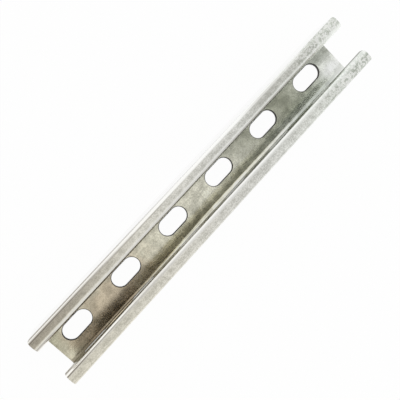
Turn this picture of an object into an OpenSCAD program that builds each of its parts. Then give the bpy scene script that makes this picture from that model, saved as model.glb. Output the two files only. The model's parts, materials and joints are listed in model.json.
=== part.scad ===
// Perforated strut channel: one length of galvanised sheet steel, roll-formed to an open C section.
// The back (web) lies on the floor and carries a row of slots, the mouth faces up, and the two lips
// are turned in and down so that a channel nut can hook behind them.
// +X runs along the channel, +Z points out of the mouth, and the origin is at the middle of the back.

/* [Length] */
// Length of the cut piece
channel_length = 300; // [60:1:3000]

/* [Section] */
// Width across the outside of the two flanges
channel_width = 41.3; // [34:0.1:90]
// Height from the back to the top of the lips
channel_height = 41.3; // [20:0.1:100]
// Thickness of the sheet
sheet_thickness = 2.5; // [1.5:0.1:3]
// Width of each lip, from the outside of its flange to the mouth
lip_width = 9.5; // [8:0.1:13]
// Depth of each turned-down return, from the top of its lip to its edge
return_depth = 7.2; // [5:0.1:12]
// Inside radius of the bends between the web and the flanges
web_bend_radius = 3.5; // [0.5:0.1:6]
// Inside radius of the bends between the flanges and the lips
lip_bend_radius = 0.7; // [0.3:0.1:1.6]
// Inside radius of the bends between the lips and their returns
return_bend_radius = 1.5; // [0.3:0.1:2.2]

/* [Slots] */
// Length of a slot, end to end
slot_length = 24.5; // [14:0.5:40]
// Width of a slot
slot_width = 13; // [6:0.5:18]
// Distance from one slot's centre to the next
slot_pitch = 50; // [42:1:150]
// Distance from the piece's first end to the first slot's centre
first_slot_centre = 21.5; // [18:0.5:45]
// Least metal left between the last slot and the piece's other end
slot_end_margin = 5; // [2:0.5:20]

/* [Hidden] */

// Smoothness of the bends and the slots' ends
$fn = 96;
// How far a cutter runs past the faces that it cuts
cut_overrun = 1;
// Colour of the zinc coating
zinc_colour = [0.74, 0.75, 0.72];

// Outside radii of the bends
web_bend_outside = web_bend_radius + sheet_thickness;
lip_bend_outside = lip_bend_radius + sheet_thickness;
return_bend_outside = return_bend_radius + sheet_thickness;

// Straight stretches of the sheet between its bends
web_flat_half = channel_width / 2 - web_bend_outside;
flange_flat = channel_height - web_bend_outside - lip_bend_outside;
lip_flat = lip_width - lip_bend_outside - return_bend_outside;
return_flat = return_depth - return_bend_outside;

// Centres of the lip's two bends, on the +Y side of the section
lip_bend_height = channel_height - lip_bend_outside;
lip_bend_offset = channel_width / 2 - lip_bend_outside;
return_bend_height = channel_height - return_bend_outside;
return_bend_offset = lip_bend_offset - lip_flat;

// The slots that fit on the piece whole
last_slot_limit = channel_length - slot_end_margin - slot_length / 2;
slot_count = max(0, floor((last_slot_limit - first_slot_centre) / slot_pitch) + 1);
slot_end_spacing = slot_length - slot_width;

// A quarter turn of the sheet about the origin, from the +X side up to the +Y side
module bend(inside_radius) {
    outside_radius = inside_radius + sheet_thickness;
    intersection() {
        difference() {
            circle(r = outside_radius);
            circle(r = inside_radius);
        }
        square(outside_radius);
    }
}

// One side of the section, followed along the sheet from the middle of the web to the return's edge
module half_section() {
    square([web_flat_half, sheet_thickness]);
    translate([web_flat_half, web_bend_outside])
        rotate(-90)
            bend(web_bend_radius);
    translate([channel_width / 2 - sheet_thickness, web_bend_outside])
        square([sheet_thickness, flange_flat]);
    translate([lip_bend_offset, lip_bend_height])
        bend(lip_bend_radius);
    translate([return_bend_offset, channel_height - sheet_thickness])
        square([lip_flat, sheet_thickness]);
    translate([return_bend_offset, return_bend_height])
        rotate(90)
            bend(return_bend_radius);
    translate([channel_width / 2 - lip_width, channel_height - return_depth])
        square([sheet_thickness, return_flat]);
}

module section() {
    half_section();
    mirror([1, 0])
        half_section();
}

// The punch for one slot: a straight middle with a round end on each side
module slot_punch() {
    punch_height = sheet_thickness + 2 * cut_overrun;
    translate([0, 0, -cut_overrun]) {
        for (side = [-1, 1])
            translate([side * slot_end_spacing / 2, 0, 0])
                cylinder(d = slot_width, h = punch_height);
        translate([-slot_end_spacing / 2, -slot_width / 2, 0])
            cube([slot_end_spacing, slot_width, punch_height]);
    }
}

module slot_row() {
    for (i = [0 : 1 : slot_count - 1])
        translate([first_slot_centre - channel_length / 2 + i * slot_pitch, 0, 0])
            slot_punch();
}

module strut_channel() {
    color(zinc_colour)
        difference() {
            translate([-channel_length / 2, 0, 0])
                rotate([90, 0, 90])
                    linear_extrude(height = channel_length)
                        section();
            slot_row();
        }
}

strut_channel();
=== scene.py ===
"""Perforated strut channel: a length of slotted channel, roll-formed from galvanised sheet steel.

Laid out as an add-on. One operator folds, slots and finishes the channel, and one sets a plain white
studio round it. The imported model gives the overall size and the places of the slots.
"""

import json
import math

import bmesh
import bpy
from bpy.props import FloatProperty, FloatVectorProperty, IntProperty, PointerProperty
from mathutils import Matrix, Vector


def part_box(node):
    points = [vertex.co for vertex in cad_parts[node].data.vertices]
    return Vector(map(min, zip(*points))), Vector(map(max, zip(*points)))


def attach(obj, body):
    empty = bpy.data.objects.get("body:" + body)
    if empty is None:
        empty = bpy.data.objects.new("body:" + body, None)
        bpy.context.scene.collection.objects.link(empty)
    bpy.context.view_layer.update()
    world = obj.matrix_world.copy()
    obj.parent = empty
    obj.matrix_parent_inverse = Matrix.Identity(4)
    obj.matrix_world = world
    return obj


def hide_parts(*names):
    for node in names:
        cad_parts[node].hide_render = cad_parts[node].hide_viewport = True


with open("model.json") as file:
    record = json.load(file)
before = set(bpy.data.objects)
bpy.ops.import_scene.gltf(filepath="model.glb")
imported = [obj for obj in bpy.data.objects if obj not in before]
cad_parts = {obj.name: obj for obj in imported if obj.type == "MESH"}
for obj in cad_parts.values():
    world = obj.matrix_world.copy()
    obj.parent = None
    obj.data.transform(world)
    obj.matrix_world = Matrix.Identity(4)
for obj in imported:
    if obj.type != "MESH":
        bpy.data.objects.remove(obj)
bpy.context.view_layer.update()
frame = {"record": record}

bl_info = {
    "name": "Perforated Strut Channel",
    "version": (1, 0, 0),
    "blender": (4, 5, 0),
    "location": "View3D > Sidebar > Strut Channel",
    "description": "Models a length of slotted, galvanised strut channel and a studio for it",
    "category": "Add Mesh",
}

NODE = "strut_channel"
BODY = "root"
MM = 0.001
PLACE_TOLERANCE = 0.02 * MM
MERGE_DISTANCE = PLACE_TOLERANCE / 10
# How far off a slot's outline an edge of its rim may lie
RIM_TOLERANCE = 0.1 * MM

WEB_BEND_STEPS = 10
LIP_BEND_STEPS = 9
RIM_STEPS = 4
EDGE_STEPS = 2
# Half of this number is odd, so no corner of the punch lies on the slot's cross line
PUNCH_CORNERS = 70
SMOOTH_ANGLE = math.radians(50)
# Large faces keep the normals of the smooth ones beside them flat
FACE_WEIGHT = 100

# Fineness of the zinc's textures, per metre
SPECKLE = 1100.0
MOTTLE = 260.0
CLOUD = 60.0
PATCH = 110.0
SPANGLE = 420.0
FLAKE = 880.0
# The same along X, Y and Z, for marks that run one way: streaks from the rolls, smears wiped across the web,
# and the grain of bare steel, where the saw's marks run across the section
STREAKS = (14.0, 420.0, 420.0)
SMEARS = (420.0, 130.0, 130.0)
PUNCHED_GRAIN = (1400.0, 1400.0, 1400.0)
SAWN_GRAIN = (400.0, 60.0, 1600.0)
# The brown stain: how quickly it fades along X and Y, per metre, and the shift that then places its middle
STAIN_FADE = (20.0, 45.0, 0.0)
STAIN_SHIFT = (2.0, 0.3, 0.0)
# Depth and strength of the relief, on the lips and flanges, on the web and on bare steel
RELIEF_DEPTH = 0.2 * MM
ZINC_RELIEF = 0.08
WEB_RELIEF = 0.008
STEEL_RELIEF = 0.4
# How far a spangle leans, on the lips and flanges and on the web
ZINC_LEAN = 0.02
WEB_LEAN = 0.003
# How much of the bare steel's brightness its dark grains keep
DARK_GRAIN = 0.6
# How far the weathered stretch runs on along X for each step across
WEATHER_SLANT = 3.0
PLAIN_WHITE = (1.0, 1.0, 1.0)

FLOOR_SIZE = 12.0
# How far the floor lies below the channel, so that the two never share a plane
FLOOR_GAP = 0.05 * MM
# How much of the floor's white the camera sees whatever the shade; the rest takes the shadow
FLOOR_GLOW = 0.97
SENSOR_WIDTH = 36.0
CLIP_START = 0.01


def mounts_named(start):
    """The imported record's mounts whose names start with these letters."""
    return [m for m in frame["record"]["mounts"] if m["name"].startswith(start)]


LOW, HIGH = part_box(NODE)
OVERALL = HIGH - LOW
SLOT_PAIRS = mounts_named("slot_pair")
SLOT = SLOT_PAIRS[0]["dims"]
FIRST_SLOT = min(m["pos_m"][0] for m in SLOT_PAIRS) - SLOT["spacing_x_mm"] * MM / 2
RETURN_EDGE = mounts_named("nut_track")[0]["pos_m"][2]


def size(name, description, default):
    """A length that a user may change."""
    return FloatProperty(
        name=name, description=description, default=default, min=0.0, unit="LENGTH", precision=5
    )


def share(name, description, default):
    """A share from nothing to all."""
    return FloatProperty(
        name=name, description=description, default=default, min=0.0, max=1.0, subtype="FACTOR"
    )


def colour(name, description, default):
    """A colour, as the light that the surface sends back."""
    return FloatVectorProperty(
        name=name, description=description, default=default, min=0.0, max=1.0, size=3, subtype="COLOR"
    )


def level(name, description, default):
    """A plain number."""
    return FloatProperty(name=name, description=description, default=default, min=0.0)


class ChannelSizes(bpy.types.PropertyGroup):
    """Sizes of the channel, its slots and its edges"""

    length: size("Length", "Length of the cut piece", OVERALL.x)
    width: size("Width", "Width across the outside of the two flanges", OVERALL.y)
    height: size("Height", "Height from the back to the top of the lips", OVERALL.z)
    sheet: size("Sheet", "Thickness of the sheet", 2.5 * MM)
    lip: size("Lip", "Width of a lip, from the outside of its flange to the mouth", 9.5 * MM)
    return_depth: size("Return", "Depth of a lip's turned-down return", HIGH.z - RETURN_EDGE)
    web_bend: size("Web Bend", "Inside radius of the bends along the web", 3.5 * MM)
    lip_bend: size("Lip Bend", "Inside radius of the bends from the flanges to the lips", 0.7 * MM)
    return_bend: size("Return Bend", "Inside radius of the bends from the lips to their returns", 1.5 * MM)
    slot_length: size("Slot Length", "Length of a slot, end to end", SLOT["slot_length_mm"] * MM)
    slot_width: size("Slot Width", "Width of a slot", 2 * SLOT["hole_r_mm"] * MM)
    slot_pitch: size("Slot Pitch", "Distance between the slots' centres", SLOT["spacing_x_mm"] * MM)
    slot_count: IntProperty(
        name="Slots",
        description="Number of slots along the web",
        default=sum(m["dims"]["count"] for m in SLOT_PAIRS),
        min=1,
    )
    first_slot: FloatProperty(
        name="First Slot",
        description="Place of the first slot's centre along the channel",
        default=FIRST_SLOT,
        unit="LENGTH",
        precision=5,
    )
    rim_roll: size("Slot Rim", "How far the punch draws the sheet down round a slot", 0.5 * MM)
    edge_break: size("Edge Break", "Width of the broken edges at the ends and under the slots", 0.2 * MM)


class ZincFinish(bpy.types.PropertyGroup):
    """Colours of the zinc coating and of the bare cut steel, some of them painted shade or a painted
    highlight
    """

    pale: colour("Pale Zinc", "Lightest grains of the flat zinc", (0.96, 0.96, 0.93))
    dull: colour("Dull Zinc", "Darkest grains of the flat zinc", (0.62, 0.62, 0.585))
    # Zinc rubbed bright by the rolls, brightened further as a painted highlight on the bends and the flanges'
    # outsides.
    burnished: colour("Burnished Zinc", "Zinc rubbed bright along the bends", (0.97, 0.97, 0.955))
    frost: colour("Frost", "White bloom towards the far end", (0.97, 0.98, 0.97))
    # Darkens a stretch of the +Y lip, and is the colour of the painted shade lines on the lips, returns,
    # flanges and web bends.
    stained_lip: colour("Stained Lip", "Tint of the stains and dull lines on the lips", (0.60, 0.575, 0.555))
    web: colour("Web", "Tint of the web", (1.0, 0.99, 0.90))
    weathered: colour("Weathered Web", "Tint of the weathered stretch of the web", (0.47, 0.485, 0.445))
    far_foot: colour("Far Foot", "Tint of one bend along the web towards the far end", (0.72, 0.74, 0.72))
    tarnish: colour("Tarnish", "Tint of the brown stain on the web", (0.88, 0.80, 0.77))
    inside: colour("Inside", "Even zinc on the insides of the flanges and lips", (0.93, 0.93, 0.90))
    # Painted shade in the grooves behind the returns at the first end.
    dull_inside: colour("Dull Inside", "Those insides, dull, at the first end", (0.38, 0.36, 0.335))
    # Painted shade: darkens the reflection on the -Y return's face.
    dull_edge: colour("Dull Return", "Tint of one return's face at a low angle", (0.40, 0.40, 0.385))
    dull_flange: colour("Dull Flange", "Dark streaks along the flanges' outsides", (0.62, 0.62, 0.60))
    pale_flange: colour("Pale Flange", "Pale streaks along the flanges' outsides", (0.84, 0.84, 0.82))
    etched: colour("Etched Flake", "Tint of the dark flakes towards the far end", (0.60, 0.635, 0.605))
    cool: colour("Cool Tint", "Tint of the far end", (0.975, 1.0, 0.97))
    warm: colour("Warm Tint", "Tint of the first end", (1.0, 0.955, 0.85))
    # Bare punched steel, darkened nearly to black as painted shade on the slots' walls and rims.
    cut_steel_shade: colour("Cut Steel", "Bare steel on the slots' walls", (0.09, 0.085, 0.08))
    sawn_steel: colour("Sawn Steel", "Bare steel on the sawn ends", (0.46, 0.45, 0.43))
    roughness: share("Roughness", "Mean roughness of the flat zinc", 0.2)
    web_dish: level("Web Dish", "Slope across the web, for each metre from its middle", 2.6)
    bend_easing: level("Bend Easing", "Slope where the web's bends start, for each metre", 10.0)
    bend_turn: level("Bend Turn", "Lean of one of the web's bends at mid-length", 0.14)
    return_crown: level("Return Crown", "Lean of one return's bend towards its top", 0.3)
    return_turn: level("Return Turn", "Lean of the same bend at the first end", 0.22)


class Studio(bpy.types.PropertyGroup):
    """Floor, light and camera"""

    floor: colour("Floor", "Colour of the floor", (1.0, 1.0, 1.0))
    ceiling: colour("Ceiling", "Light from above", (0.74, 0.74, 0.73))
    window: colour("Window Side", "Light from low down on the bright side", (1.0, 1.0, 1.0))
    first_end: colour("First End", "Light from low down beyond the first end", (0.42, 0.38, 0.32))
    corner: colour("Corner", "Dim corner between the bright side and the first end", (0.36, 0.34, 0.30))
    camera_place: FloatVectorProperty(
        name="Camera Place",
        description="Place of the camera",
        default=(-0.052625, 0.053702, 0.392386),
        size=3,
        subtype="TRANSLATION",
        precision=6,
    )
    camera_turn: FloatVectorProperty(
        name="Camera Turn",
        description="Turn of the camera about X, Y and Z, Z first",
        default=(-0.147, -0.124, -0.825),
        size=3,
        subtype="EULER",
    )
    lens: FloatProperty(name="Lens", description="Focal length", default=48.343, unit="CAMERA")


def choose(piece):
    """Selects this piece alone."""
    bpy.ops.object.select_all(action="DESELECT")
    piece.select_set(True)
    bpy.context.view_layer.objects.active = piece


def edit_only(piece):
    """Selects this piece alone and opens it in edit mode."""
    choose(piece)
    bpy.ops.object.mode_set(mode="EDIT")


def close_edit():
    bpy.ops.object.mode_set(mode="OBJECT")


def near(a, b):
    return abs(a - b) < PLACE_TOLERANCE


def pick(piece, kind, fits):
    """Selects the vertices, edges or faces whose corners all fit, and nothing else."""
    bpy.ops.mesh.select_mode(type=kind)
    bpy.ops.mesh.select_all(action="DESELECT")
    mesh = bmesh.from_edit_mesh(piece.data)
    found = 0
    for element in {"VERT": mesh.verts, "EDGE": mesh.edges, "FACE": mesh.faces}[kind]:
        corners = [element] if kind == "VERT" else element.verts
        if all(fits(corner.co) for corner in corners):
            element.select_set(True)
            found += 1
    mesh.select_flush_mode()
    bmesh.update_edit_mesh(piece.data)
    if found == 0:
        raise RuntimeError(f"nothing to select on {piece.name}")


def bevel_picked(width, steps):
    bpy.ops.mesh.bevel(offset=width, segments=steps, affect="EDGES")


def apply_modifier(piece, kind, **settings):
    """Adds a modifier to this piece and applies it."""
    choose(piece)
    modifier = piece.modifiers.new(kind.title(), kind)
    for name, value in settings.items():
        setattr(modifier, name, value)
    bpy.ops.object.modifier_apply(modifier=modifier.name)


def extrude_edge(step):
    bpy.ops.mesh.extrude_edges_move(TRANSFORM_OT_translate={"value": step})


def fold_sheet(sizes):
    """Folds a flat strip, which stands for the middle of the sheet, up to the section and thickens it."""
    bpy.ops.object.select_all(action="DESELECT")
    bpy.ops.mesh.primitive_plane_add(size=1.0)
    piece = bpy.context.object
    piece.name = piece.data.name = "slotted_channel"
    half_sheet = sizes.sheet / 2
    fold = sizes.width / 2 - half_sheet
    top = sizes.height - half_sheet
    mouth = sizes.width / 2 - sizes.lip + half_sheet

    edit_only(piece)
    bpy.ops.mesh.select_all(action="SELECT")
    bpy.ops.transform.resize(value=(sizes.length, 2 * fold, 1.0))
    bpy.ops.transform.translate(value=(0.0, 0.0, half_sheet))
    for side in (-1, 1):
        pick(piece, "EDGE", lambda co: near(co.y, side * fold))
        extrude_edge((0.0, 0.0, top - half_sheet))
        extrude_edge((0.0, side * (mouth - fold), 0.0))
        extrude_edge((0.0, 0.0, half_sheet - sizes.return_depth))
    bpy.ops.mesh.select_all(action="SELECT")
    bpy.ops.mesh.normals_make_consistent(inside=False)

    # The bends, as places across and up the section, with their inside radii
    bends = (
        (fold, half_sheet, sizes.web_bend, WEB_BEND_STEPS),
        (fold, top, sizes.lip_bend, LIP_BEND_STEPS),
        (mouth, top, sizes.return_bend, LIP_BEND_STEPS),
    )
    for across, up, radius, steps in bends:
        pick(piece, "EDGE", lambda co: near(abs(co.y), across) and near(co.z, up))
        bevel_picked(radius + half_sheet, steps)

    # A line along the web and one across each slot, so that every slot is cut from four plain faces
    bpy.ops.mesh.select_all(action="SELECT")
    bpy.ops.mesh.bisect(plane_co=(0.0, 0.0, 0.0), plane_no=(0.0, 1.0, 0.0))
    for index in range(2 * sizes.slot_count - 1):
        bpy.ops.mesh.select_all(action="SELECT")
        along = sizes.first_slot + index * sizes.slot_pitch / 2
        bpy.ops.mesh.bisect(plane_co=(along, 0.0, 0.0), plane_no=(1.0, 0.0, 0.0))
    close_edit()
    apply_modifier(piece, "SOLIDIFY", thickness=sizes.sheet, offset=0.0, use_even_offset=True, use_rim=True)
    return piece


def punch_slots(piece, sizes):
    """Cuts the row of slots with one punch, repeated along the web."""
    bpy.ops.object.select_all(action="DESELECT")
    bpy.ops.mesh.primitive_cylinder_add(
        vertices=PUNCH_CORNERS, radius=sizes.slot_width / 2, depth=3 * sizes.sheet
    )
    punch = bpy.context.object
    half_straight = (sizes.slot_length - sizes.slot_width) / 2
    edit_only(punch)
    for side in (-1, 1):
        pick(punch, "VERT", lambda co: side * co.x > 0)
        bpy.ops.transform.translate(value=(side * half_straight, 0.0, 0.0))
    bpy.ops.mesh.select_all(action="SELECT")
    bpy.ops.transform.translate(value=(sizes.first_slot, 0.0, sizes.sheet / 2))
    close_edit()
    apply_modifier(
        punch,
        "ARRAY",
        count=sizes.slot_count,
        use_relative_offset=False,
        use_constant_offset=True,
        constant_offset_displace=(sizes.slot_pitch, 0.0, 0.0),
    )
    apply_modifier(piece, "BOOLEAN", object=punch, operation="DIFFERENCE", solver="EXACT")
    bpy.data.objects.remove(punch)


def off_slot_wall(co, sizes):
    """How far a point lies outside the outline of the slot nearest to it."""
    along = (co.x - sizes.first_slot) / sizes.slot_pitch
    index = min(max(round(along), 0), sizes.slot_count - 1)
    from_centre = abs(co.x - sizes.first_slot - index * sizes.slot_pitch)
    past_straight = max(from_centre - (sizes.slot_length - sizes.slot_width) / 2, 0.0)
    return math.hypot(past_straight, co.y) - sizes.slot_width / 2


def break_edges(piece, sizes):
    """Rolls the slots' upper rims over and breaks the sharp edges of the cut sheet."""
    edit_only(piece)
    bpy.ops.mesh.select_all(action="SELECT")
    bpy.ops.mesh.remove_doubles(threshold=MERGE_DISTANCE)
    bpy.ops.mesh.normals_make_consistent(inside=False)

    def on_rim(height):
        return lambda co: near(co.z, height) and abs(off_slot_wall(co, sizes)) < RIM_TOLERANCE

    pick(piece, "EDGE", on_rim(sizes.sheet))
    bevel_picked(sizes.rim_roll, RIM_STEPS)
    pick(piece, "EDGE", on_rim(0.0))
    bevel_picked(sizes.edge_break, EDGE_STEPS)
    pick(piece, "EDGE", lambda co: near(abs(co.x), sizes.length / 2))
    bevel_picked(sizes.edge_break, EDGE_STEPS)
    close_edit()


def smooth_faces(piece):
    choose(piece)
    bpy.ops.object.shade_smooth_by_angle(angle=SMOOTH_ANGLE)
    apply_modifier(piece, "WEIGHTED_NORMAL", keep_sharp=True, weight=FACE_WEIGHT)


def opaque(rgb):
    return (*rgb, 1.0)


class Shader:
    """Adds shader nodes to one tree."""

    def __init__(self, tree):
        self.tree = tree
        tree.nodes.clear()

    def put(self, kind, inputs=None, **settings):
        """Adds a node with these settings, and with these values or links on its inputs."""
        node = self.tree.nodes.new("ShaderNode" + kind)
        for name, value in settings.items():
            setattr(node, name, value)
        for name, value in (inputs or {}).items():
            if isinstance(value, bpy.types.NodeSocket):
                self.tree.links.new(value, node.inputs[name])
            else:
                node.inputs[name].default_value = value
        return node

    def maths(self, operation, *values):
        return self.put("Math", dict(enumerate(values)), operation=operation).outputs[0]

    def fold(self, operation, values):
        """Joins all these values, two at a time."""
        result = values[0]
        for value in values[1:]:
            result = self.maths(operation, result, value)
        return result

    def product(self, *values):
        return self.fold("MULTIPLY", values)

    def total(self, *values):
        return self.fold("ADD", values)

    def most(self, *values):
        """The largest of these values."""
        return self.fold("MAXIMUM", values)

    def rest(self, value):
        """What this share leaves of the whole."""
        return self.maths("SUBTRACT", 1.0, value)

    def ramp(self, value, start, end, low=0.0, high=1.0):
        """Goes smoothly from low to high while value goes from start to end."""
        inputs = {"Value": value, "From Min": start, "From Max": end, "To Min": low, "To Max": high}
        return self.put("MapRange", inputs, interpolation_type="SMOOTHSTEP").outputs["Result"]

    def scaled(self, mask, at_none, at_all):
        """Goes from one value off a mask to another on it."""
        return self.ramp(mask, 0.0, 1.0, at_none, at_all)

    def blend(self, factor, a, b, how="MIX"):
        """Mixes two colours."""
        return self.put("Mix", {0: factor, 6: a, 7: b}, data_type="RGBA", blend_type=how).outputs[2]

    def stain(self, factor, tint, by):
        """Multiplies a tint by a colour where the factor says."""
        return self.blend(factor, tint, by, "MULTIPLY")

    def noise(self, place, scale, detail=2.0, roughness=0.5):
        inputs = {"Vector": place, "Scale": scale, "Detail": detail, "Roughness": roughness}
        return self.put("TexNoise", inputs).outputs["Fac"]

    def cells(self, place, scale):
        """A colour of its own in each cell."""
        return self.put("TexVoronoi", {"Vector": place, "Scale": scale}).outputs["Color"]

    def vector(self, operation, a, b=None):
        inputs = {0: a} if b is None else {0: a, 1: b}
        return self.put("VectorMath", inputs, operation=operation).outputs["Vector"]

    def length(self, vector):
        return self.put("VectorMath", {0: vector}, operation="LENGTH").outputs["Value"]

    def joined(self, x=0.0, y=0.0, z=0.0):
        return self.put("CombineXYZ", {"X": x, "Y": y, "Z": z}).outputs["Vector"]

    def parted(self, vector):
        return self.put("SeparateXYZ", {"Vector": vector}).outputs[:3]

    def stretched(self, place, scale, shift=(0.0, 0.0, 0.0)):
        inputs = {"Vector": place, "Location": shift, "Scale": scale}
        return self.put("Mapping", inputs).outputs["Vector"]

    def relief(self, strength, height):
        inputs = {"Strength": strength, "Distance": RELIEF_DEPTH, "Height": height}
        return self.put("Bump", inputs).outputs["Normal"]

    def principled(self, inputs):
        """Ends a surface's tree."""
        surface = self.put("BsdfPrincipled", inputs).outputs["BSDF"]
        self.put("OutputMaterial", {"Surface": surface})


class ZincShader(Shader):
    """Galvanised zinc: frosted flats, bends rubbed bright by the rolls and brightened as a painted highlight,
    a weathered web, and painted shade on the insides and along lines of the lips, returns and flanges.

    Masks are placed along the channel in shares of half its length, from the first end at -1 to the far end
    at 1, and on its section in thicknesses of the sheet.
    """

    def __init__(self, tree, finish, sizes):
        super().__init__(tree)
        self.finish = finish
        self.sizes = sizes
        self.sheet = sizes.sheet
        self.half = sizes.width / 2
        self.mouth = self.half - sizes.lip
        self.end = sizes.length / 2
        self.place = self.put("TexCoord").outputs["Object"]
        self.along, self.plus, self.up = self.parted(self.place)
        self.minus = self.maths("MULTIPLY", self.plus, -1.0)
        self.aside = self.maths("ABSOLUTE", self.plus)
        self.mark_textures()
        self.mark_faces()
        self.mark_lines()

    def paint(self, name):
        """One of the finish's colours."""
        return opaque(getattr(self.finish, name))

    def lengthwise(self, start, full, low=0.0, high=1.0):
        """A ramp along the channel."""
        return self.ramp(self.along, start * self.end, full * self.end, low, high)

    def crosswise(self, start, full, low=0.0, high=1.0):
        """A ramp across the channel towards +Y, in millimetres from its middle."""
        return self.ramp(self.plus, start * MM, full * MM, low, high)

    def over_back(self, start, full):
        """A ramp by the height over the back."""
        return self.ramp(self.up, start * self.sheet, full * self.sheet)

    def below_top(self, start, full, low=0.0, high=1.0):
        """A ramp by the depth below the lips' tops."""
        top = self.sizes.height
        return self.ramp(self.up, top - start * self.sheet, top - full * self.sheet, low, high)

    def from_flange(self, side, start, full):
        """A ramp by the distance in from the flange's outside."""
        return self.ramp(side, self.half - start * self.sheet, self.half - full * self.sheet)

    def from_mouth(self, side, start, full):
        """A ramp by the distance out from the mouth's edge."""
        return self.ramp(side, self.mouth + start * self.sheet, self.mouth + full * self.sheet)

    def on_minus_side(self):
        return self.ramp(self.minus, 0.0, self.mouth)

    def mark_textures(self):
        """The textures that several stains share."""
        self.speckle = self.noise(self.place, SPECKLE)
        self.cloud = self.noise(self.place, CLOUD, 4.0, 0.55)
        self.streak = self.noise(self.stretched(self.place, STREAKS), 1.0, 3.0)
        mottle = self.noise(self.place, MOTTLE, 4.0, 0.65)
        self.grain = self.total(
            self.ramp(self.speckle, 0.3, 0.7, -0.3, 0.3),
            self.ramp(mottle, 0.3, 0.7, 0.2, 0.8),
            self.ramp(self.streak, 0.3, 0.7, -0.12, 0.12),
        )

    def mark_faces(self):
        """The web, the bends, the flanges' outsides and the grooves behind the returns."""
        # The distance from the line about which the web and its flange are bent tells the sheet's faces apart
        outside = self.sizes.web_bend + self.sheet
        past_web = self.maths("MAXIMUM", self.maths("SUBTRACT", self.aside, self.half - outside), 0.0)
        below_flange = self.maths("MINIMUM", self.maths("SUBTRACT", self.up, outside), 0.0)
        off_bend = self.length(self.joined(past_web, below_flange))
        self.inner = self.ramp(off_bend, outside - 0.4 * self.sheet, outside - 0.6 * self.sheet)
        self.on_web = self.product(self.inner, self.over_back(3.2, 2.0))
        self.below_bend = self.below_top(1.0, 1.4)
        self.by_mouth = self.product(self.from_mouth(self.aside, 1.5, 0.7), self.below_top(3.2, 3.0))
        self.at_foot = self.product(
            self.inner,
            self.from_flange(self.aside, 2.9, 2.4),
            self.over_back(2.4, 1.5),
        )
        # Painted shade: the strips along both of the web's bends are darkened towards the first end and left
        # out of the brighter zinc.
        self.shaded_foot = self.product(self.at_foot, self.lengthwise(-0.2, -0.7))
        plus_flange = self.product(
            self.from_flange(self.plus, 1.1, 0.6),
            self.most(self.lengthwise(0.85, 0.7), self.below_bend),
        )
        minus_flange = self.product(self.from_flange(self.minus, 0.2, 0.1), self.below_bend)
        bright_foot = self.maths("SUBTRACT", self.at_foot, self.shaded_foot)
        # Zinc rubbed bright by the rolls and partly a painted highlight: the bends, the flanges' outsides and
        # the strips along the web's bends are brightened.
        self.burnish_and_highlight = self.product(
            self.most(plus_flange, minus_flange, self.by_mouth, bright_foot),
            self.ramp(self.streak, 0.2, 0.6, 0.75, 1.0),
        )
        self.groove = self.product(
            self.from_mouth(self.aside, 0.92, 1.0),
            self.from_flange(self.aside, 0.7, 0.9),
            self.over_back(3.0, 4.4),
            self.below_top(0.5, 0.85),
        )
        # Painted shade: the grooves behind the returns darkened towards the first end, also less metallic and
        # without specular.
        self.dull_inside = self.product(self.groove, self.lengthwise(-0.25, -0.7))

    def mark_lines(self):
        """The painted shade: dark lines along the lips, their returns and the +Y flange."""
        height = self.sizes.height
        # Painted shade: a dark band on the +Y flange's outside just under its lip, strongest towards the
        # first end.
        under_lip = self.product(
            self.from_flange(self.plus, 0.1, 0.0),
            self.ramp(self.up, 0.7 * height, 0.82 * height),
            self.ramp(self.up, 0.98 * height, 0.92 * height),
            self.lengthwise(0.3, -0.85, 0.1, 1.0),
        )
        self.flange_face = self.product(
            self.from_flange(self.aside, 0.6, 0.1),
            self.below_bend,
            self.rest(under_lip),
        )
        return_face = self.product(
            self.from_mouth(self.minus, -0.3, -0.1),
            self.from_mouth(self.minus, 0.5, 0.3),
        )
        # Painted shade: the -Y return's face at the very first end.
        first_return = self.product(
            return_face,
            self.below_top(2.1, 1.8),
            self.below_top(0.6, 1.0),
            self.lengthwise(-0.92, -0.98),
        )
        # Painted shade: the -Y return's face, whose reflection is darkened through the specular tint over
        # most of its length.
        self.shaded_return = self.product(
            return_face,
            self.below_top(3.1, 2.9),
            self.below_top(1.0, 1.3),
            self.most(self.lengthwise(-0.66, -0.52), self.lengthwise(-0.7, -0.76)),
            self.lengthwise(-0.97, -0.93),
        )
        # Two places of painted shade that are also rough and not metallic.
        self.matt_shade = self.most(under_lip, first_return)
        # Painted shade: a dark line along the +Y lip's edge at the mouth, strongest past the middle.
        mouth_edge = self.product(
            self.from_mouth(self.plus, 0.95, 0.75),
            self.from_mouth(self.plus, -0.1, 0.0),
            self.below_top(1.0, 0.8),
            self.lengthwise(-0.7, -0.4),
            self.lengthwise(0.0, 0.5, 0.3, 1.0),
            self.lengthwise(0.92, 0.78),
        )
        # Painted shade: a dark line on the -Y lip's top beside its bend at the mouth, over the first half.
        first_line = self.product(
            self.from_mouth(self.minus, 0.62, 0.72),
            self.from_mouth(self.minus, 1.15, 1.0),
            self.below_top(0.5, 0.3),
            self.lengthwise(-0.82, -0.93, 0.4, 1.0),
            self.lengthwise(-0.1, -0.5),
        )
        # Painted shade: a dark line on the +Y lip's bend down into its return, at the first end.
        first_rim = self.product(
            self.from_mouth(self.plus, 1.0, 0.85),
            self.from_mouth(self.plus, 0.2, 0.45),
            self.below_top(2.0, 1.8),
            self.lengthwise(-0.85, -0.93, 0.0, 0.8),
        )
        # Painted shade: a dark line on the +Y lip's top beside its outer bend, in the first half.
        lip_line = self.product(
            self.from_flange(self.plus, 1.1, 0.95),
            self.from_flange(self.plus, 0.65, 0.8),
            self.below_top(0.5, 0.4),
            self.lengthwise(-0.75, -0.4),
            self.lengthwise(-0.05, -0.25, 0.0, 0.6),
        )
        # All the lines of painted shade together.
        self.painted_shade = self.most(self.matt_shade, self.shaded_foot, mouth_edge, first_line, first_rim, lip_line)

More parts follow.
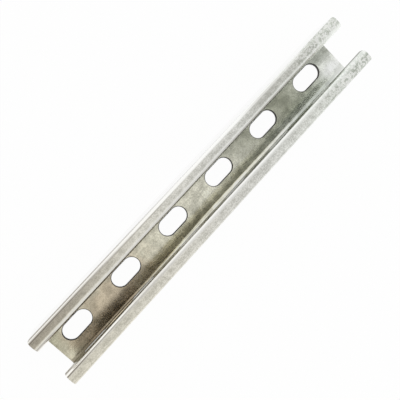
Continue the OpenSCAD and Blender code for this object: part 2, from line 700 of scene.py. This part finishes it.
    def weathered(self):
        """How worn the web is: a slanted stretch towards the far end and a corner at the first end."""
        slanted = self.total(self.along, self.maths("MULTIPLY", self.plus, WEATHER_SLANT))
        band = self.product(self.lengthwise(0.0, 0.5, 0.0, 0.55), self.crosswise(-14.5, -11.0))
        stretch = self.product(
            self.ramp(slanted, 0.0, 0.55 * self.end),
            self.most(self.lengthwise(0.93, 0.8), self.crosswise(-3.0, 3.0)),
            self.most(self.crosswise(-10.0, -6.0), band),
        )
        first_corner = self.product(self.lengthwise(-0.9, -0.98), self.crosswise(-8.0, 6.0, 0.0, 0.7))
        return self.product(
            self.on_web,
            self.most(stretch, first_corner),
            self.ramp(self.cloud, 0.3, 0.65, 0.7, 1.0),
            self.lengthwise(0.8, 0.95, 1.0, 0.75),
        )

    def tint_web(self, tint):
        """Yellows, patches, weathers and tarnishes the web, and paints shade on its +Y side."""
        far_band = self.product(self.lengthwise(0.3, 0.6), self.crosswise(-8.0, -12.0))
        yellowed = self.product(self.on_web, self.lengthwise(0.9, 0.6), self.rest(far_band))
        tint = self.stain(yellowed, tint, self.paint("web"))
        # Random patches on the web, and painted shade: the web darkened towards its +Y side, under the lip.
        patch_and_shade = self.product(
            self.ramp(self.noise(self.place, PATCH, 3.0, 0.6), 0.35, 0.65, 0.84, 1.14),
            self.crosswise(3.0, 8.0, 1.0, 0.86),
        )
        tint = self.stain(self.on_web, tint, self.joined(patch_and_shade, patch_and_shade, patch_and_shade))
        tint = self.stain(self.weathered(), tint, self.paint("weathered"))
        far_foot = self.product(
            self.at_foot,
            self.on_minus_side(),
            self.lengthwise(0.45, 0.7),
            self.lengthwise(0.97, 0.9),
        )
        tint = self.stain(far_foot, tint, self.paint("far_foot"))
        off_stain = self.total(
            self.length(self.stretched(self.place, STAIN_FADE, STAIN_SHIFT)),
            self.ramp(self.cloud, 0.3, 0.7, -0.3, 0.3),
        )
        tarnished = self.product(self.on_web, self.ramp(off_stain, 1.2, 0.3))
        return self.stain(tarnished, tint, self.paint("tarnish"))

    def tint_sides(self, tint):
        """Darkens one lip, streaks the flanges' outsides, paints shade along lines of the lips, returns,
        flanges and web bends, evens the insides and paints shade on them at the first end.
        """
        # The +Y lip's top is darker towards the first end and, at half strength, over a stretch past the
        # middle.
        lip_middle = self.product(self.lengthwise(0.3, 0.5), self.lengthwise(0.9, 0.75, 0.0, 0.5))
        lip_darkening = self.product(
            self.from_mouth(self.plus, 1.25, 1.6),
            self.below_top(0.7, 0.35),
            self.most(self.lengthwise(-0.3, -0.9), lip_middle),
        )
        tint = self.stain(lip_darkening, tint, self.paint("stained_lip"))
        streaks = self.ramp(self.streak, 0.3, 0.7)
        drawn = self.blend(streaks, self.paint("dull_flange"), self.paint("pale_flange"))
        tint = self.blend(self.flange_face, tint, drawn)
        # Painted shade along the lines of the lips, returns, flanges and web bends.
        tint = self.stain(self.painted_shade, tint, self.paint("stained_lip"))
        tint = self.blend(self.groove, tint, self.paint("inside"))
        # Painted shade in the grooves at the first end.
        return self.blend(self.dull_inside, tint, self.paint("dull_inside"))

    def tint_ends(self, tint):
        """Cools the far end and warms the first one."""
        tint = self.stain(self.lengthwise(0.0, 1.0), tint, self.paint("cool"))
        warmed = self.product(self.lengthwise(0.5, -1.0), self.scaled(self.burnish_and_highlight, 1.0, 0.4))
        return self.stain(warmed, tint, self.paint("warm"))

    def frost_far_end(self, tint):
        """Etches and frosts flakes on the far lips and frosts a corner of the web; returns the bloom too."""
        flake = self.parted(self.cells(self.place, FLAKE))[0]
        far_lips = self.product(
            self.lengthwise(0.5, 0.95),
            self.scaled(self.on_web, 1.0, 0.0),
            self.below_top(1.6, 1.2),
        )
        off_mouth = self.product(self.by_mouth, self.ramp(self.plus, -self.mouth, self.mouth, 0.35, 0.9))
        etched = self.product(
            far_lips,
            self.ramp(flake, 0.6, 0.2),
            self.ramp(self.plus, self.mouth, -self.mouth, 0.6, 0.85),
            self.rest(off_mouth),
        )
        tint = self.stain(etched, tint, self.paint("etched"))
        smear = self.noise(self.stretched(self.place, SMEARS), 1.0, 3.0, 0.6)
        far_corner = self.product(
            self.on_web,
            self.lengthwise(0.82, 0.93),
            self.crosswise(-2.0, -9.0),
            self.ramp(self.cloud, 0.35, 0.55, 0.6, 1.0),
            self.ramp(smear, 0.35, 0.55, 0.55, 1.0),
            self.crosswise(-14.0, -10.0, 0.25, 1.0),
        )
        tint = self.blend(far_corner, tint, self.paint("frost"))
        bloom = self.product(far_lips, self.ramp(flake, 0.5, 0.7, 0.0, 0.6))
        return self.blend(bloom, tint, self.paint("frost")), bloom

    def roughness(self, bloom):
        """Smooth on the bends rubbed bright and on the web, rougher in the dull and frosted places, in the
        grooves and on two lines of painted shade.
        """
        mean = self.finish.roughness
        flats = self.product(
            self.scaled(self.grain, mean - 0.05, mean + 0.07),
            self.scaled(self.burnish_and_highlight, 1.0, 0.35),
            self.scaled(self.on_web, 1.0, 0.6),
        )
        soft_start = self.product(self.on_web, self.lengthwise(-0.3, -0.6), self.lengthwise(-1.0, -0.9))
        soft_finish = self.product(self.on_web, self.lengthwise(0.2, 0.6))
        matt_end = self.product(
            self.on_web,
            self.lengthwise(-0.76, -0.92),
            self.lengthwise(-0.975, -0.93),
            self.crosswise(-7.0, -11.0),
        )
        rougher = (
            (soft_start, 0.1),
            (matt_end, 0.25),
            (soft_finish, 0.07),
            (self.groove, 0.3),
            (bloom, 0.3),
            (self.matt_shade, 0.6),
        )
        return self.total(flats, *(self.product(mask, more) for mask, more in rougher))

    def leans(self):
        """How the rolls left the web and the bends leaning: across the channel, and up."""
        finish = self.finish
        dish = self.product(
            self.plus,
            self.on_web,
            self.from_flange(self.aside, 2.4, 3.0),
            self.lengthwise(-0.8, -0.4, 0.0, -finish.web_dish),
        )
        easing = self.product(
            self.plus,
            self.from_flange(self.aside, 3.0, 2.4),
            self.from_flange(self.aside, 2.05, 2.35),
            self.over_back(3.0, 2.0),
            self.lengthwise(-0.4, 0.0, 0.0, -finish.bend_easing),
        )
        bend_turn = self.product(
            self.inner,
            self.from_flange(self.minus, 2.27, 1.95),
            self.over_back(3.0, 2.0),
            self.lengthwise(-0.65, -0.45),
            self.lengthwise(0.25, 0.05, 0.0, -finish.bend_turn),
        )
        return_bend = self.product(self.by_mouth, self.on_minus_side())
        return_turn = self.product(
            return_bend,
            self.lengthwise(-0.3, -0.55),
            self.below_top(0.21, 0.29),
            self.below_top(0.55, 0.4, 0.0, finish.return_turn),
        )
        crown = self.product(
            return_bend,
            self.lengthwise(-0.95, -0.35),
            self.below_top(0.95, 0.7, 0.0, finish.return_crown),
        )
        return self.joined(y=self.total(dish, easing, return_turn, bend_turn), z=crown)

    def normal(self):
        """The surface's normal, with the fine relief, each spangle's own lean and the rolls' leans."""
        relief = self.relief(self.scaled(self.on_web, ZINC_RELIEF, WEB_RELIEF), self.speckle)
        spangle = self.vector("SUBTRACT", self.cells(self.place, SPANGLE), (0.5, 0.5, 0.5))
        by = self.scaled(self.on_web, ZINC_LEAN, WEB_LEAN)
        spangle = self.put("VectorMath", {0: spangle, "Scale": by}, operation="SCALE").outputs["Vector"]
        leaning = self.vector("ADD", spangle, self.leans())
        return self.vector("NORMALIZE", self.vector("ADD", relief, leaning))

    def finish_zinc(self):
        """Joins it all in one surface."""
        tint = self.blend(self.grain, self.paint("dull"), self.paint("pale"))
        # Painted highlight in part: the bends and the flanges' outsides take a brighter zinc.
        tint = self.blend(self.burnish_and_highlight, tint, self.paint("burnished"))
        tint = self.tint_web(tint)
        tint = self.tint_sides(tint)
        tint = self.tint_ends(tint)
        tint, bloom = self.frost_far_end(tint)
        # Less metallic in the bloom, on the rough painted shade and on the painted shade in the grooves; the
        # last two also lose their specular.
        bare = self.total(self.product(bloom, 0.4), self.matt_shade, self.product(self.dull_inside, 0.7))
        inputs = {
            "Base Color": tint,
            "Metallic": self.rest(bare),
            "Roughness": self.roughness(bloom),
            "Normal": self.normal(),
            "Specular IOR Level": self.scaled(self.most(self.matt_shade, self.dull_inside), 0.5, 0.0),
            # The specular tint darkens the -Y return's reflection as painted shade.
            "Specular Tint": self.blend(self.shaded_return, opaque(PLAIN_WHITE), self.paint("dull_edge")),
            "Coat Weight": self.flange_face,
        }
        self.principled(inputs)


def new_material(name):
    material = bpy.data.materials.new(name)
    material.use_nodes = True
    return material


def zinc_material(finish, sizes):
    material = new_material("galvanised_zinc")
    ZincShader(material.node_tree, finish, sizes).finish_zinc()
    return material


def cut_material(name, steel, fineness):
    """Bare steel where the sheet was punched or sawn."""
    material = new_material(name)
    shader = Shader(material.node_tree)
    place = shader.put("TexCoord").outputs["Object"]
    grain = shader.noise(shader.stretched(place, fineness), 1.0, 3.0)
    dark = opaque([DARK_GRAIN * c for c in steel])
    inputs = {
        "Base Color": shader.blend(grain, dark, opaque(steel)),
        "Metallic": 1.0,
        "Roughness": shader.ramp(grain, 0.2, 0.8, 0.45, 0.65),
        "Normal": shader.relief(STEEL_RELIEF, grain),
    }
    shader.principled(inputs)
    return material


def finish_piece(piece, finish, sizes):
    """Gives the sheet its zinc, the slots' walls and rims their bare steel darkened as painted shade, and the
    sawn ends their bare steel.
    """

    def on_wall(co):
        return off_slot_wall(co, sizes) < sizes.rim_roll + PLACE_TOLERANCE

    def on_end(co):
        return near(abs(co.x), sizes.length / 2)

    piece.data.materials.append(zinc_material(finish, sizes))
    # The slots' walls and rims: bare steel darkened as painted shade.
    piece.data.materials.append(cut_material("punched_steel", finish.cut_steel_shade, PUNCHED_GRAIN))
    piece.data.materials.append(cut_material("sawn_steel", finish.sawn_steel, SAWN_GRAIN))
    edit_only(piece)
    for index, fits in ((1, on_wall), (2, on_end)):
        pick(piece, "FACE", fits)
        piece.active_material_index = index
        bpy.ops.object.material_slot_assign()
    close_edit()


def white_floor(studio):
    """A wide floor, white to the camera and in reflections, with a soft shadow; clear from below."""
    bpy.ops.object.select_all(action="DESELECT")
    bpy.ops.mesh.primitive_plane_add(size=FLOOR_SIZE, location=(0.0, 0.0, LOW.z - FLOOR_GAP))
    floor = bpy.context.object
    floor.name = "floor"
    material = new_material("white_floor")
    shader = Shader(material.node_tree)
    white = opaque(studio.floor)
    ray = shader.put("LightPath").outputs
    shown = shader.most(
        shader.product(ray["Is Camera Ray"], FLOOR_GLOW),
        ray["Is Glossy Ray"],
        ray["Is Transmission Ray"],
    )
    card = shader.put("BsdfDiffuse", {"Color": white}).outputs["BSDF"]
    glow = shader.put("Emission", {"Color": white, "Strength": 1.0}).outputs["Emission"]
    surface = shader.put("MixShader", {0: shown, 1: card, 2: glow}).outputs["Shader"]
    below = shader.put("NewGeometry").outputs["Backfacing"]
    clear = shader.put("BsdfTransparent").outputs["BSDF"]
    surface = shader.put("MixShader", {0: below, 1: surface, 2: clear}).outputs["Shader"]
    shader.put("OutputMaterial", {"Surface": surface})
    floor.data.materials.append(material)


def soft_surround(studio):
    """Soft light from all round, brightest low down on one side and dim beyond the first end."""
    world = bpy.data.worlds.new("soft_surround")
    bpy.context.scene.world = world
    world.use_nodes = True
    shader = Shader(world.node_tree)
    ramp = shader.ramp
    along, across, rise = shader.parted(shader.put("TexCoord").outputs["Generated"])

    window_side = ramp(across, 0.0, 0.15)
    low_window = shader.product(window_side, ramp(rise, 0.9, 0.35))
    far_side = shader.product(ramp(across, -0.3, -0.55), ramp(rise, 0.35, 0.65, 0.0, 0.3))
    first_end = shader.product(ramp(along, -0.25, -0.75), ramp(rise, 0.95, 0.6))
    slant = shader.maths("DIVIDE", along, shader.maths("MAXIMUM", across, 0.05))
    corner = shader.product(
        window_side,
        ramp(slant, 0.08, -0.3),
        ramp(rise, 0.85, 0.65),
        ramp(rise, 0.18, 0.42),
    )
    layers = (
        (low_window, studio.window),
        (ramp(along, 0.4, 0.54), studio.window),
        (far_side, studio.window),
        (first_end, studio.first_end),
        (corner, studio.corner),
        (shader.put("LightPath").outputs["Is Camera Ray"], studio.floor),
    )
    light = opaque(studio.ceiling)
    for mask, paint in layers:
        light = shader.blend(mask, light, opaque(paint))
    glow = shader.put("Background", {"Color": light, "Strength": 1.0}).outputs["Background"]
    shader.put("OutputWorld", {"Surface": glow})


def photo_camera(studio):
    """The camera, looking down along the channel."""
    bpy.ops.object.camera_add()
    camera = bpy.context.object
    camera.name = "camera"
    camera.rotation_mode = "ZYX"
    camera.location = studio.camera_place
    camera.rotation_euler = studio.camera_turn
    camera.data.sensor_width = SENSOR_WIDTH
    camera.data.lens = studio.lens
    camera.data.clip_start = CLIP_START
    bpy.context.scene.camera = camera


class STRUT_OT_form_channel(bpy.types.Operator):
    """Folds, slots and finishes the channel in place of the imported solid"""

    bl_idname = "mesh.strut_channel_form"
    bl_label = "Form Channel"

    def execute(self, context):
        sizes = context.scene.strut_channel_sizes
        piece = fold_sheet(sizes)
        punch_slots(piece, sizes)
        break_edges(piece, sizes)
        smooth_faces(piece)
        finish_piece(piece, context.scene.strut_zinc_finish, sizes)
        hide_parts(NODE)
        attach(piece, BODY)
        return {"FINISHED"}


class STRUT_OT_set_studio(bpy.types.Operator):
    """Sets the floor, the light and the camera"""

    bl_idname = "scene.strut_studio_set"
    bl_label = "Set Studio"

    def execute(self, context):
        studio = context.scene.strut_studio
        white_floor(studio)
        soft_surround(studio)
        photo_camera(studio)
        context.scene.view_settings.view_transform = "Standard"
        return {"FINISHED"}


class VIEW3D_PT_strut_channel(bpy.types.Panel):
    """Lists the channel's operators and settings"""

    bl_label = "Strut Channel"
    bl_space_type = "VIEW_3D"
    bl_region_type = "UI"
    bl_category = "Strut Channel"

    def draw(self, context):
        for operator, settings in PANEL_ROWS:
            self.layout.operator(operator.bl_idname)
            for name in settings:
                group = getattr(context.scene, name)
                for key in group.bl_rna.properties.keys():
                    if key not in ("rna_type", "name"):
                        self.layout.prop(group, key)


PANEL_ROWS = (
    (STRUT_OT_form_channel, ("strut_channel_sizes", "strut_zinc_finish")),
    (STRUT_OT_set_studio, ("strut_studio",)),
)
SETTINGS = {
    "strut_channel_sizes": ChannelSizes,
    "strut_zinc_finish": ZincFinish,
    "strut_studio": Studio,
}
CLASSES = (*SETTINGS.values(), STRUT_OT_form_channel, STRUT_OT_set_studio, VIEW3D_PT_strut_channel)


def register():
    for made in CLASSES:
        bpy.utils.register_class(made)
    for name, group in SETTINGS.items():
        setattr(bpy.types.Scene, name, PointerProperty(type=group))


def unregister():
    for name in SETTINGS:
        delattr(bpy.types.Scene, name)
    for made in reversed(CLASSES):
        bpy.utils.unregister_class(made)


def main():
    register()
    bpy.ops.mesh.strut_channel_form()
    bpy.ops.scene.strut_studio_set()


if __name__ == "__main__":
    main()
